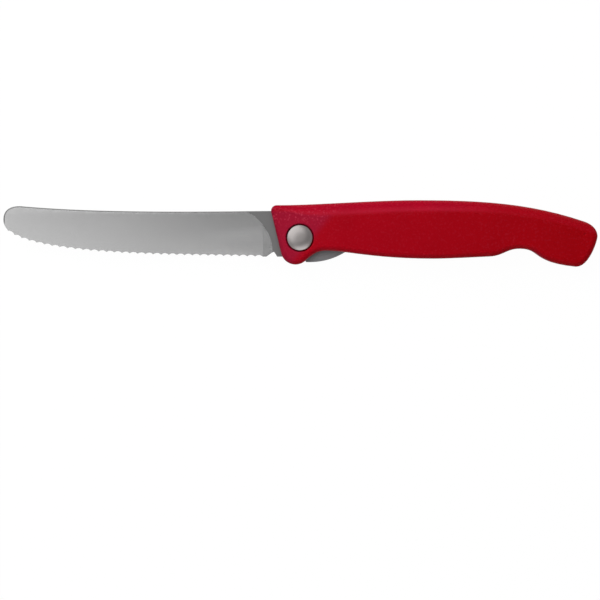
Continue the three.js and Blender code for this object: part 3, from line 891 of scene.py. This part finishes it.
def along_back(edge, s):
    """Whether an edge runs along the blade's back or round its tip."""
    most_slope, most_down = 0.5, -0.2
    walls = [face for face in edge.link_faces if abs(face.normal.z) < most_slope]
    sides = [face for face in edge.link_faces if abs(face.normal.z) > LARGELY]
    if len(walls) != 1 or len(sides) != 1:
        return False
    reach = max(vertex.co.x for vertex in edge.verts)
    return walls[0].normal.y > most_down and reach < PIVOT.x - s.heel_reach


def round_back(blade, s):
    """Rounds the blade's back, wider towards the tip."""
    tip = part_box("blade")[0].x
    with editing(blade):
        mesh = bmesh.from_edit_mesh(blade.data)
        weight = mesh.edges.layers.float.new("bevel_weight_edge")
        for edge in mesh.edges:
            if along_back(edge, s):
                along = (edge.verts[0].co.x + edge.verts[1].co.x) / 2 - tip
                near = eased(1 - along / s.tip_reach)
                edge[weight] = (s.spine_round + (s.tip_round - s.spine_round) * near) / s.tip_round
        bmesh.update_edit_mesh(blade.data)
    modify(
        blade,
        "BEVEL",
        width=s.tip_round,
        segments=3,
        limit_method="WEIGHT",
        use_clamp_overlap=False,
        material=TANG_SLOT,
    )


def slice_sides(blade, places, way):
    """Cuts the two ground sides across at each place along one direction."""
    for place_along in places:
        pick(blade, "FACE", ground)
        bpy.ops.mesh.bisect(plane_co=way * place_along, plane_no=way)


def hollow_sides(blade, s):
    """Hollows the ground sides a little, as a wheel grinds them, with its run-out by the plunge."""
    low = PIVOT.y + s.hollow_span[0]
    half = (s.hollow_span[1] - s.hollow_span[0]) / 2
    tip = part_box("blade")[0].x
    runout_start = PIVOT.x - s.runout_reach
    stretch = (runout_start - tip) / s.length_cuts

    def at_runout(edge):
        return all(abs(end.co.x - runout_start) < SAME_POINT for end in edge.verts)

    with editing(blade):
        steps = range(1, s.hollow_cuts)
        slice_sides(blade, [low + 2 * half * i / s.hollow_cuts for i in steps], Vector((0.0, 1.0, 0.0)))
        steps = range(1, s.length_cuts + 1)
        slice_sides(blade, [tip + stretch * i for i in steps], Vector((1.0, 0.0, 0.0)))
        mesh = bmesh.from_edit_mesh(blade.data)
        for vertex in mesh.verts:
            if not any(ground(face) for face in vertex.link_faces):
                continue
            across = min(abs(vertex.co.y - low - half) / half, 1.0)
            along = min(max((vertex.co.x - runout_start) / s.runout_width, 0.0), 1.0)
            height = vertex.co.z - PIVOT.z
            heel = eased(2 * (vertex.co.x - tip) / (runout_start - tip) - 1)
            hollow = s.hollow * (1 + s.heel_hollow * heel)
            depth = hollow * (1 - across * across) + s.runout_depth * along
            vertex.co.z -= math.copysign(min(depth, abs(height) / 2), height)
        bmesh.update_edit_mesh(blade.data)
        pick(blade, "EDGE", at_runout)
        bpy.ops.mesh.mark_sharp()
        # The run-out strip takes the darker run-out steel: painted shade on its tilt
        pick(blade, "FACE", lambda face: ground(face) and face.calc_center_median().x > runout_start)
        give_finish(blade, RUNOUT_SLOT)


# Pivot rivet

def dome_profile(radius, seat, apex, s):
    """Domed head from its seat to the middle, with a rounded rim."""
    rim = seat + s.rim_height
    corner = radius - s.rim_round

    def surface(out):
        return apex - (apex - rim) * (out / radius) ** s.flatness

    edge_tilt = math.atan(s.flatness * (apex - rim) / radius * (corner / radius) ** (s.flatness - 1))
    bend = s.rim_round / (math.sin(s.rim_tilt) - math.sin(edge_tilt))
    rim_steps, dome_steps = 4, 14
    points = [(radius, seat)]
    for step in range(rim_steps):
        tilt = s.rim_tilt + (edge_tilt - s.rim_tilt) * step / rim_steps
        points.append((
            corner + bend * (math.sin(tilt) - math.sin(edge_tilt)),
            surface(corner) + bend * (math.cos(tilt) - math.cos(edge_tilt)),
        ))
    for step in range(dome_steps + 1):
        out = corner * (1 - step / dome_steps)
        points.append((out, surface(out)))
    return points


# Finishes

def feed(tree, node, inputs):
    """Sets a node's inputs, each to a value or to the output that feeds it."""
    for key, value in inputs.items():
        if isinstance(value, bpy.types.NodeSocket):
            tree.links.new(value, node.inputs[key])
        else:
            node.inputs[key].default_value = value


def add_node(tree, kind, inputs, **settings):
    """A new node with its settings and inputs."""
    node = tree.nodes.new(f"ShaderNode{kind}")
    for name, value in settings.items():
        setattr(node, name, value)
    feed(tree, node, inputs)
    return node


def ranged(tree, value, source, target=(0.0, 1.0), easing="SMOOTHSTEP"):
    """A value carried from one range to another, and held at its ends."""
    inputs = {"Value": value}
    inputs["From Min"], inputs["From Max"] = source
    inputs["To Min"], inputs["To Max"] = target
    return add_node(tree, "MapRange", inputs, interpolation_type=easing).outputs["Result"]


def product(tree, first, second):
    """Two values multiplied."""
    return add_node(tree, "Math", {0: first, 1: second}, operation="MULTIPLY").outputs["Value"]


def mixed(tree, factor, first, second):
    """Two colours mixed by a factor."""
    inputs = {"Factor": factor, "A": first, "B": second}
    return add_node(tree, "Mix", inputs, data_type="RGBA").outputs["Result"]


def noise(tree, where, scale, detail, roughness=0.5):
    """Soft random values over a place."""
    inputs = {"Vector": where, "Scale": scale, "Detail": detail, "Roughness": roughness}
    return add_node(tree, "TexNoise", inputs).outputs["Fac"]


def bumped(tree, height, strength, distance):
    """Normals that follow a height."""
    inputs = {"Height": height, "Strength": strength, "Distance": distance}
    return add_node(tree, "Bump", inputs).outputs["Normal"]


def coordinates(tree):
    """Places on a piece, in its own frame and from the pivot."""
    where = add_node(tree, "TexCoord", {}).outputs["Object"]
    centred = add_node(tree, "Mapping", {"Vector": where, "Location": -PIVOT}).outputs["Vector"]
    return where, centred


def solid(tone):
    """A colour with full alpha."""
    return (*tone, 1.0)


def new_material(name):
    """A material, its node tree and its shader."""
    material = bpy.data.materials.new(name)
    material.use_nodes = True
    return material, material.node_tree, material.node_tree.nodes["Principled BSDF"]


def satin_lines():
    """Node group: fine parallel lines left by grinding, rolling or turning."""
    if "Satin lines" in bpy.data.node_groups:
        return bpy.data.node_groups["Satin lines"]
    group = bpy.data.node_groups.new("Satin lines", "ShaderNodeTree")
    for name in ("Across", "Along", "Lines", "Stretch"):
        group.interface.new_socket(name, in_out="INPUT", socket_type="NodeSocketFloat")
    group.interface.new_socket("Height", in_out="OUTPUT", socket_type="NodeSocketFloat")
    source = group.nodes.new("NodeGroupInput").outputs
    sink = group.nodes.new("NodeGroupOutput")
    across = product(group, source["Across"], source["Lines"])
    along = product(group, source["Along"], source["Stretch"])
    grid = add_node(group, "CombineXYZ", {"X": across, "Y": along}).outputs["Vector"]
    feed(group, sink, {"Height": noise(group, grid, scale=1.0, detail=3.0, roughness=0.65)})
    return group


def steel(name, metal, roughness, lines, stretch, depth, across="X", round_pivot=False):
    """Satin metal with lines across one axis, or round the pivot."""
    material, tree, shader = new_material(name)
    _, centred = coordinates(tree)
    split = add_node(tree, "SeparateXYZ", {"Vector": centred}).outputs
    if round_pivot:
        flat = add_node(tree, "CombineXYZ", {"X": split["X"], "Y": split["Y"]}).outputs["Vector"]
        radius = add_node(tree, "VectorMath", {0: flat}, operation="LENGTH").outputs["Value"]
        inputs = {"Across": radius, "Along": split["Z"]}
    else:
        inputs = {"Across": split[across], "Along": split["Y" if across == "X" else "X"]}
    inputs.update({"Lines": lines, "Stretch": stretch})
    height = add_node(tree, "Group", inputs, node_tree=satin_lines()).outputs["Height"]
    dark, light = ([min(channel * level, 1.0) for channel in metal] for level in LINE_TONES)
    feed(tree, shader, {
        "Base Color": mixed(tree, height, solid(dark), solid(light)),
        "Metallic": 1.0,
        "Roughness": roughness,
        "Normal": bumped(tree, height, strength=depth, distance=LINE_HEIGHT),
    })
    return material


def moulded_red(s):
    """Matte red plastic with a fine moulded grain, uneven tone and pale specks, and painted light: shade
    towards the butt and on the front rounding, a reflection on the nose, and a highlight and sheen along
    the back.
    """
    if "Moulded red" in bpy.data.materials:
        return bpy.data.materials["Moulded red"]
    material, tree, shader = new_material("Moulded red")
    where, centred = coordinates(tree)
    split = add_node(tree, "SeparateXYZ", {"Vector": centred}).outputs
    along, height = split["X"], split["Y"]

    # Painted shade: the red darkens from behind the pivot towards the butt
    butt_shade = ranged(tree, along, (0.0, s.hook[0]), easing="LINEAR")
    tone = mixed(tree, butt_shade, solid(s.body_red), solid(s.red))

    # Painted reflection: a paler, pinker red on the nose that fades out below the back
    slant = (-math.cos(s.nose_sheen_slant), math.sin(s.nose_sheen_slant), 0.0)
    forward = add_node(tree, "VectorMath", {0: centred, 1: slant}, operation="DOT_PRODUCT").outputs["Value"]
    below_back = ranged(tree, height, s.nose_sheen_top, (1.0, NOSE_SHEEN_LEFT))
    nose = product(tree, ranged(tree, forward, s.nose_sheen_span), below_back)
    tone = mixed(tree, nose, tone, solid(s.nose_sheen_red))

    # Painted highlight and sheen: a bright streak inside the back's rounding and a pinker red on its outer
    # part, fading towards the butt
    back = add_node(tree, "Attribute", {}, attribute_name="back_round").outputs["Fac"]
    highlight_band = add_node(tree, "ValToRGB", {"Fac": back})
    for stop, position, red in zip(highlight_band.color_ramp.elements, HIGHLIGHT_AND_SHEEN_BAND, (s.streak_highlight_red, s.back_sheen_red)):
        stop.position = position
        stop.color = solid(red)
    highlight_shown = product(
        tree,
        ranged(tree, back, (0.0, HIGHLIGHT_AND_SHEEN_BAND[0])),
        ranged(tree, along, s.highlight_and_sheen_fade, (1.0, HIGHLIGHT_AND_SHEEN_LEFT)),
    )
    tone = mixed(tree, highlight_shown, tone, highlight_band.outputs["Color"])

    # Painted shade: a darker red on the rounding of the front edge
    front = add_node(tree, "Attribute", {}, attribute_name="front_round").outputs["Fac"]
    tone = mixed(tree, front, tone, solid(s.front_shade_red))

    patches = noise(tree, where, scale=PATCH_SCALE, detail=3.0)
    level = ranged(tree, patches, (0.0, 1.0), PATCH_LEVELS, easing="LINEAR")
    tone = add_node(tree, "VectorMath", {0: tone, "Scale": level}, operation="SCALE").outputs["Vector"]

    dots = noise(tree, where, scale=1 / s.speck_size, detail=1.0)
    specks = ranged(tree, dots, SPECK_LIMITS, easing="LINEAR")
    by_nose = product(tree, nose, ranged(tree, height, s.speck_rise))
    strength = ranged(tree, by_nose, (0.0, 1.0), SPECK_STRENGTHS, easing="LINEAR")
    tone = mixed(tree, product(tree, specks, strength), tone, solid(s.speck_red))

    grain = noise(tree, where, scale=1 / s.grain, detail=3.0, roughness=0.6)
    feed(tree, shader, {
        "Base Color": tone,
        "Roughness": ranged(tree, grain, (0.0, 1.0), GRAIN_ROUGHNESS, easing="LINEAR"),
        "Specular IOR Level": PLASTIC_GLOSS,
        "Normal": bumped(tree, grain, strength=0.5, distance=GRAIN_HEIGHT),
    })
    return material


# Stage

def stage_lamp(name, at, size, watts):
    """Soft square lamp turned towards the middle of the stage, and out of the camera's sight."""
    at = Vector(at)
    aim = (-at).to_track_quat("-Z", "Y").to_euler()
    lamp = added(name, bpy.ops.object.light_add, type="AREA", location=at, rotation=aim)
    lamp.data.shape = "SQUARE"
    lamp.data.size = size
    lamp.data.energy = watts
    lamp.visible_camera = False
    return lamp


def pale_floor(s):
    """Floor that is white to the camera and in reflections, with a little of the knife's shadow."""
    material, tree, shader = new_material("Pale floor")
    feed(tree, shader, {"Base Color": solid(s.floor), "Roughness": 0.9})
    white = add_node(tree, "Emission", {"Strength": FLOOR_WHITE}).outputs["Emission"]
    path = add_node(tree, "LightPath", {}).outputs
    seen = path["Is Camera Ray"]
    for ray in ("Is Glossy Ray", "Is Transmission Ray"):
        both = add_node(tree, "Math", {0: seen, 1: path[ray]}, operation="ADD", use_clamp=True)
        seen = both.outputs["Value"]
    inputs = {"Fac": product(tree, seen, WHITE_SHARE), 1: shader.outputs["BSDF"], 2: white}
    surface = add_node(tree, "MixShader", inputs).outputs["Shader"]
    feed(tree, tree.nodes["Material Output"], {"Surface": surface})
    return material


def soft_sky(s):
    """Surroundings that are bright behind the knife, and dark in front of it and overhead."""
    world = bpy.data.worlds.new("Soft surroundings")
    world.use_nodes = True
    tree = world.node_tree
    way = add_node(tree, "TexCoord", {}).outputs["Generated"]
    rise = add_node(tree, "SeparateXYZ", {"Vector": way}).outputs["Z"]
    inputs = {0: way, 1: BRIGHT_WAY}
    towards = add_node(tree, "VectorMath", inputs, operation="DOT_PRODUCT").outputs["Value"]
    horizon = ranged(tree, towards, (-1.0, 1.0), (s.dark_side, s.bright_side), easing="LINEAR")
    inputs = {"Factor": ranged(tree, rise, SKY_RISE), "A": horizon, "B": s.zenith}
    level = add_node(tree, "Mix", inputs).outputs["Result"]
    feed(tree, tree.nodes["Background"], {"Color": solid((1.0, 1.0, 1.0)), "Strength": level})
    return world


# Operators

class KNIFE_OT_handle(bpy.types.Operator):
    """Model the two scales of the handle"""

    bl_idname = "knife.handle"
    bl_label = "Handle scales"

    def execute(self, context):
        s = context.scene.knife_handle
        front = rounded_blank(s)
        thin_ends(front, s)
        front.data.materials.append(moulded_red(s))
        rear = mirrored(front, "handle_rear")
        bore_scale(front, s, 1)
        mark_front(front, s)
        carve(rear, leaf_pocket(s))
        bore_scale(rear, s, -1)
        shank = context.scene.knife_lock.leaf_rivet_shank
        for node in LEAF_RIVETS:
            low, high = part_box(node)
            drill(rear, middle(node), shank + s.socket_play, low.z - s.socket_play, high.z)
        for piece, node in ((front, "handle_front_scale"), (rear, "handle_rear_scale")):
            drop_slivers(piece)
            smooth(piece)
            placed(piece, node, "handle")
        return {"FINISHED"}


class KNIFE_OT_spacer(bpy.types.Operator):
    """Finish the spacer that closes the back of the handle"""

    bl_idname = "knife.spacer"
    bl_label = "Back spacer"

    def execute(self, context):
        spacer = carried("spine_spacer", "handle_back")
        spacer.data.materials.append(moulded_red(context.scene.knife_handle))
        break_edges(spacer, context.scene.knife_lock.seam)
        placed(spacer, "spine_spacer", "handle")
        return {"FINISHED"}


class KNIFE_OT_blade(bpy.types.Operator):
    """Round the blade's back, grind its scallops and give each face its finish"""

    bl_idname = "knife.blade"
    bl_label = "Blade"

    def execute(self, context):
        s = context.scene.knife_blade
        blade = carried("blade", "blade_finished")
        rolled = {"roughness": 0.4, "lines": 3000.0, "stretch": 200.0, "depth": 0.2, "across": "Y"}
        wheel = {"roughness": 0.27, "lines": 7000.0, "stretch": 60.0, "depth": 0.25}
        hone = {"roughness": 0.28, "lines": 12000.0, "stretch": 90.0, "depth": 0.3}
        blade.data.materials.append(steel("Tang steel", s.tang_steel, **rolled))
        blade.data.materials.append(steel("Ground steel", s.ground_steel, **wheel))
        # The run-out steel is darker: painted shade on the tilted run-out
        blade.data.materials.append(steel("Run-out shaded steel", s.runout_shaded_steel, **wheel))
        honed = steel("Honed steel", s.honed_steel, **hone)
        with editing(blade):
            pick(blade, "FACE", ground)
            give_finish(blade, GROUND_SLOT)
        points = tooth_points(blade, s)
        round_back(blade, s)
        hollow_sides(blade, s)
        grind_scallops(blade, points, s, honed)
        smooth(blade, degrees=25.0)
        placed(blade, "blade", "blade")
        return {"FINISHED"}


class KNIFE_OT_rivet(bpy.types.Operator):
    """Turn the two halves of the pivot rivet"""

    bl_idname = "knife.rivet"
    bl_label = "Pivot rivet"

    def execute(self, context):
        s = context.scene.knife_rivet
        radius = half_width("pivot_pin") - s.head_trim
        handle = context.scene.knife_handle
        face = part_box("handle_front_scale")[1].z - PIVOT.z
        seat = face - handle.recess_depth
        low, high = (corner.z - PIVOT.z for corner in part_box("pivot_pin"))
        head = dome_profile(radius, seat, high, s)
        shank = [(0.0, low), (s.shank_radius, low), (s.shank_radius, seat)]
        pin = turned("rivet_front", [*shank, *head], s.steps)
        low, high = (corner.z - PIVOT.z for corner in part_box("pivot_sleeve"))
        head = [(out, -height) for out, height in dome_profile(radius, seat, -low, s)]
        inner = s.shank_radius + s.bore_play
        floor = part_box("pivot_pin")[0].z - PIVOT.z - 2 * s.bore_play
        tube = [
            (s.sleeve_radius, -seat), (s.sleeve_radius, high), (inner, high), (inner, floor), (0.0, floor),
        ]
        sleeve = turned("rivet_rear", [*reversed(head), *tube], s.steps)
        turning = {"roughness": 0.34, "lines": 9000.0, "stretch": 100.0, "depth": 0.15, "round_pivot": True}
        satin = steel("Rivet steel", s.steel, **turning)
        for piece, node in ((pin, "pivot_pin"), (sleeve, "pivot_sleeve")):
            piece.data.materials.append(satin)
            smooth(piece)
            placed(piece, node, "handle")
        return {"FINISHED"}


class KNIFE_OT_washers(bpy.types.Operator):
    """Finish the two washers beside the tang"""

    bl_idname = "knife.washers"
    bl_label = "Washers"

    def execute(self, context):
        s = context.scene.knife_rivet
        turning = {"roughness": 0.34, "lines": 6000.0, "stretch": 100.0, "depth": 0.2, "round_pivot": True}
        brass = steel("Washer brass", s.brass, **turning)
        for node in ("washer_front", "washer_rear"):
            piece = carried(node, node.replace("washer", "brass_washer"))
            piece.data.materials.append(brass)
            break_edges(piece, context.scene.knife_lock.edge_break / 2)
            placed(piece, node, "handle")
        return {"FINISHED"}


class KNIFE_OT_lock(bpy.types.Operator):
    """Finish the lock leaf, its two rivets and the stop pin"""

    bl_idname = "knife.lock"
    bl_label = "Lock leaf, its rivets and the stop pin"

    def execute(self, context):
        s = context.scene.knife_lock
        nodes = {
            "lock_leaf": "spring_leaf",
            "leaf_rivet_front": "spring_rivet_front",
            "leaf_rivet_rear": "spring_rivet_rear",
            "stop_pin": "blade_stop",
        }
        rolled = {"roughness": 0.42, "lines": 4000.0, "stretch": 150.0, "depth": 0.2, "across": "Y"}
        spring = steel("Spring steel", s.steel, **rolled)
        for node, name in nodes.items():
            piece = carried(node, name)
            piece.data.materials.append(spring)
            break_edges(piece, s.edge_break)
            body = "lock_leaf" if node == "lock_leaf" else "handle"
            placed(piece, node, body)
        return {"FINISHED"}


class KNIFE_OT_stage(bpy.types.Operator):
    """Set the floor, the light and the camera"""

    bl_idname = "knife.stage"
    bl_label = "Stage"

    def execute(self, context):
        s = context.scene.knife_stage
        scene = context.scene
        floor = added("stage_floor", bpy.ops.mesh.primitive_plane_add, size=s.floor_size)
        settle(floor)
        floor.data.materials.append(pale_floor(s))
        scene.world = soft_sky(s)
        key = stage_lamp("key_lamp", s.key_place, s.key_size, s.key_power)
        sheen = stage_lamp("sheen_lamp", s.sheen_place, s.sheen_size, s.sheen_power)
        fill = stage_lamp("fill_lamp", s.fill_place, s.fill_size, s.fill_power)
        key.visible_glossy = False
        sheen.visible_diffuse = False
        fill.visible_diffuse = False
        above = PIVOT + Vector((*s.view_centre, s.camera_height))
        camera = added("camera", bpy.ops.object.camera_add, location=above)
        camera.data.lens = camera.data.sensor_width * s.camera_height / s.view_width
        camera.data.clip_start = 10 * MM
        scene.camera = camera
        scene.view_settings.view_transform = "Standard"
        return {"FINISHED"}


# Sidebar

class KNIFE_PT_sidebar(bpy.types.Panel):
    """Sizes, finishes and steps of the knife"""

    bl_idname = "KNIFE_PT_sidebar"
    bl_label = "Folding paring knife"
    bl_space_type = "VIEW_3D"
    bl_region_type = "UI"
    bl_category = "Knife"

    def draw(self, context):
        for step in STEPS:
            self.layout.operator(step.bl_idname)
        for name in SETTINGS:
            settings = getattr(context.scene, name)
            box = self.layout.box()
            for key in settings.bl_rna.properties.keys():
                if key not in ("rna_type", "name"):
                    box.prop(settings, key)


SETTINGS = {
    "knife_handle": HandleSettings,
    "knife_blade": BladeSettings,
    "knife_rivet": RivetSettings,
    "knife_lock": LockSettings,
    "knife_stage": StageSettings,
}
STEPS = (
    KNIFE_OT_handle,
    KNIFE_OT_spacer,
    KNIFE_OT_blade,
    KNIFE_OT_rivet,
    KNIFE_OT_washers,
    KNIFE_OT_lock,
    KNIFE_OT_stage,
)


def register():
    for kind in (*SETTINGS.values(), *STEPS, KNIFE_PT_sidebar):
        bpy.utils.register_class(kind)
    for name, kind in SETTINGS.items():
        setattr(bpy.types.Scene, name, bpy.props.PointerProperty(type=kind))


def unregister():
    for name in SETTINGS:
        delattr(bpy.types.Scene, name)
    for kind in (KNIFE_PT_sidebar, *reversed(STEPS), *reversed(SETTINGS.values())):
        bpy.utils.unregister_class(kind)


def main():
    register()
    bpy.ops.knife.handle()
    bpy.ops.knife.spacer()
    bpy.ops.knife.blade()
    bpy.ops.knife.rivet()
    bpy.ops.knife.washers()
    bpy.ops.knife.lock()
    bpy.ops.knife.stage()


if __name__ == "__main__":
    main()
